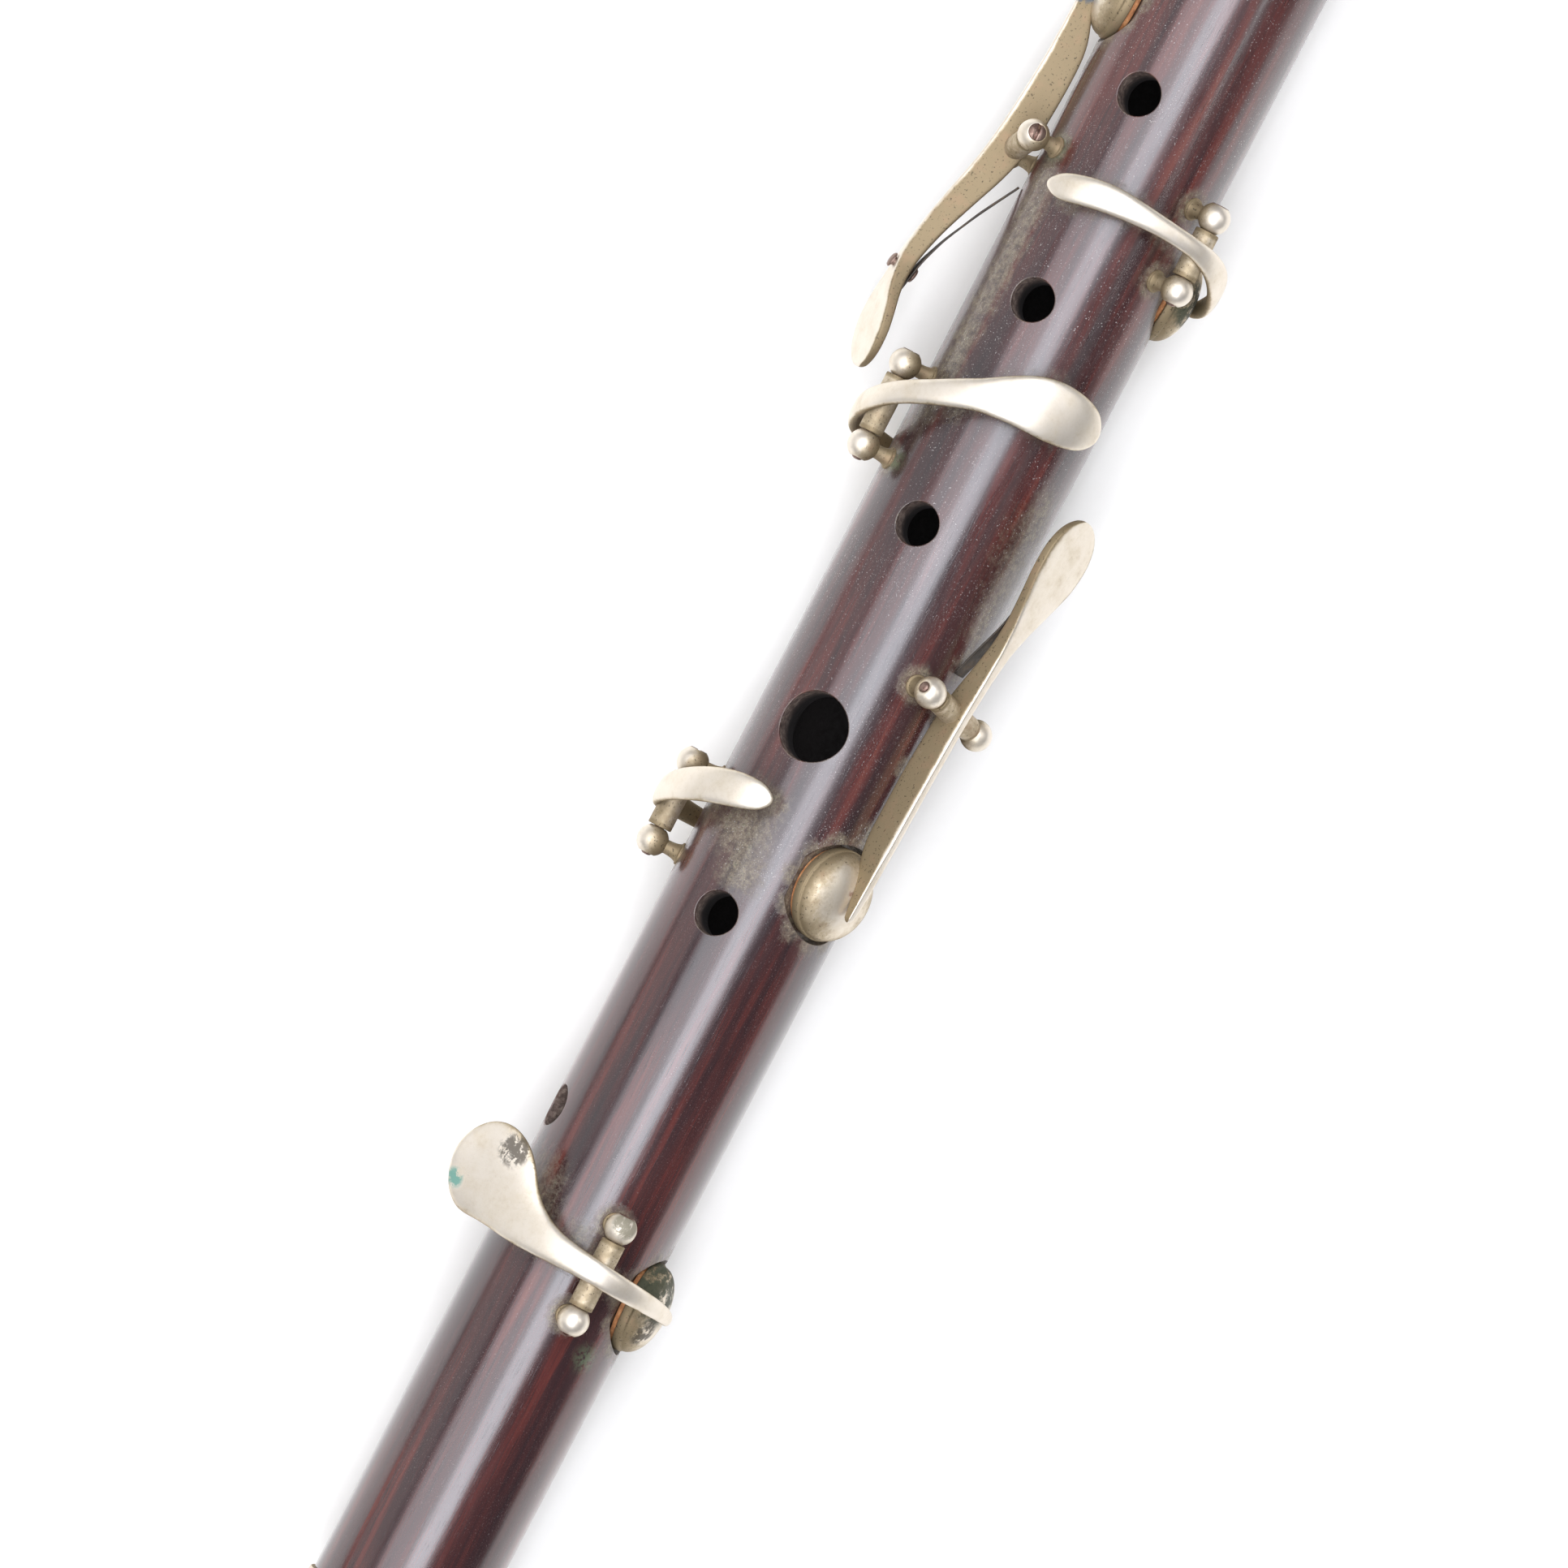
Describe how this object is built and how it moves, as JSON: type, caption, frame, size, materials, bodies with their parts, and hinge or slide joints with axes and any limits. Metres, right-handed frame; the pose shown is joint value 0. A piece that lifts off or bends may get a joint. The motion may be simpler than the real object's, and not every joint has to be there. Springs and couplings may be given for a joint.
{
  "type": "keyed piccolo",
  "caption": "Small conical wooden flute with sprung side keys on ball-headed posts, open finger holes, end rings and a cork-jointed head with an oval mouth hole.",
  "frame": {"origin": "centre of the bore at the foot end face", "axes": "+X along the bore from the foot to the head, +Z out of the wood with the finger holes uppermost (the holes stand 20 degrees from it towards +Y)"},
  "size_m": [0.3202, 0.0288, 0.0231],
  "materials": {
    "rosewood": "gloss",
    "nickel_silver": "satin",
    "pad_leather": "matte",
    "spring_steel": "satin",
    "steel_screw": "satin",
    "cork": "matte"
  },
  "bodies": {
    "body_joint": {"body_tube": "rosewood", "foot_ring": "nickel_silver", "socket_ring": "nickel_silver", "low_posts": "nickel_silver", "low_pivot_screw": "steel_screw", "short_f_posts": "nickel_silver", "short_f_pivot_screw": "steel_screw", "g_sharp_posts": "nickel_silver", "g_sharp_pivot_screw": "steel_screw", "b_flat_posts": "nickel_silver", "b_flat_pivot_screw": "steel_screw", "long_f_posts": "nickel_silver", "long_f_pivot_screw": "steel_screw", "c_posts": "nickel_silver", "c_pivot_screw": "steel_screw"},
    "low_key": {"low_lever": "nickel_silver", "low_hinge_tube": "nickel_silver", "low_cup": "nickel_silver", "low_pad": "pad_leather", "low_spring": "spring_steel", "low_spring_screw": "steel_screw"},
    "short_f_key": {"short_f_lever": "nickel_silver", "short_f_hinge_tube": "nickel_silver", "short_f_cup": "nickel_silver", "short_f_pad": "pad_leather", "short_f_spring": "spring_steel", "short_f_spring_screw": "steel_screw"},
    "g_sharp_key": {"g_sharp_lever": "nickel_silver", "g_sharp_hinge_tube": "nickel_silver", "g_sharp_cup": "nickel_silver", "g_sharp_pad": "pad_leather", "g_sharp_spring": "spring_steel", "g_sharp_spring_screw": "steel_screw"},
    "b_flat_key": {"b_flat_lever": "nickel_silver", "b_flat_hinge_tube": "nickel_silver", "b_flat_cup": "nickel_silver", "b_flat_pad": "pad_leather", "b_flat_spring": "spring_steel", "b_flat_spring_screw": "steel_screw"},
    "long_f_key": {"long_f_lever": "nickel_silver", "long_f_hinge_tube": "nickel_silver", "long_f_cup": "nickel_silver", "long_f_pad": "pad_leather", "long_f_spring": "spring_steel", "long_f_spring_screw": "steel_screw"},
    "c_key": {"c_lever": "nickel_silver", "c_hinge_tube": "nickel_silver", "c_cup": "nickel_silver", "c_pad": "pad_leather", "c_spring": "spring_steel", "c_spring_screw": "steel_screw"},
    "head_cork": {"tenon_cork": "cork"},
    "head_joint": {"head_tube": "rosewood", "head_ring": "nickel_silver", "head_crown": "rosewood"},
    "stopper": {"stopper_cork": "cork"}
  },
  "joints": [
    {"name": "low_key_hinge", "type": "hinge", "parent": "body_joint", "child": "low_key", "pos_m": [0.0368, -0.00271, 0.01019], "axis": [-1, 0, 0], "range_deg": [0, 12], "stiffness_Nm_per_rad": 0.01, "springref_deg": -20.05, "deforming": ["low_spring"]},
    {"name": "short_f_key_hinge", "type": "hinge", "parent": "body_joint", "child": "short_f_key", "pos_m": [0.077, 0.01069, 0.00037], "axis": [1, 0, 0], "range_deg": [0, 10], "stiffness_Nm_per_rad": 0.01, "springref_deg": -20.05, "deforming": ["short_f_spring"]},
    {"name": "g_sharp_key_hinge", "type": "hinge", "parent": "body_joint", "child": "g_sharp_key", "pos_m": [0.117, 0.01019, 0.00371], "axis": [1, 0, 0], "range_deg": [0, 9], "stiffness_Nm_per_rad": 0.01, "springref_deg": -20.05, "deforming": ["g_sharp_spring"]},
    {"name": "b_flat_key_hinge", "type": "hinge", "parent": "body_joint", "child": "b_flat_key", "pos_m": [0.1413, -0.00826, 0.00718], "axis": [-1, 0, 0], "range_deg": [0, 9], "stiffness_Nm_per_rad": 0.01, "springref_deg": -20.05, "deforming": ["b_flat_spring"]},
    {"name": "long_f_key_hinge", "type": "hinge", "parent": "body_joint", "child": "long_f_key", "pos_m": [0.0953, -0.00792, 0.00597], "axis": [0.1564, 0.5944, 0.7888], "range_deg": [0, 6], "stiffness_Nm_per_rad": 0.01, "springref_deg": -20.05, "deforming": ["long_f_spring"]},
    {"name": "c_key_hinge", "type": "hinge", "parent": "body_joint", "child": "c_key", "pos_m": [0.14325, 0.01004, 0.00177], "axis": [0.2588, -0.1677, 0.9513], "range_deg": [0, 7.5], "stiffness_Nm_per_rad": 0.01, "springref_deg": -20.05, "deforming": ["c_spring"]},
    {"name": "head_slide", "type": "slide", "parent": "body_joint", "child": "head_cork", "axis": [1, 0, 0], "range_m": [0, 0.008]},
    {"name": "head_turn", "type": "hinge", "parent": "head_cork", "child": "head_joint", "pos_m": [0.19, 0, 0], "axis": [1, 0, 0], "continuous": true},
    {"name": "stopper_slide", "type": "slide", "parent": "head_joint", "child": "stopper", "axis": [1, 0, 0], "range_m": [-0.002, 0.0008]}
  ]
}
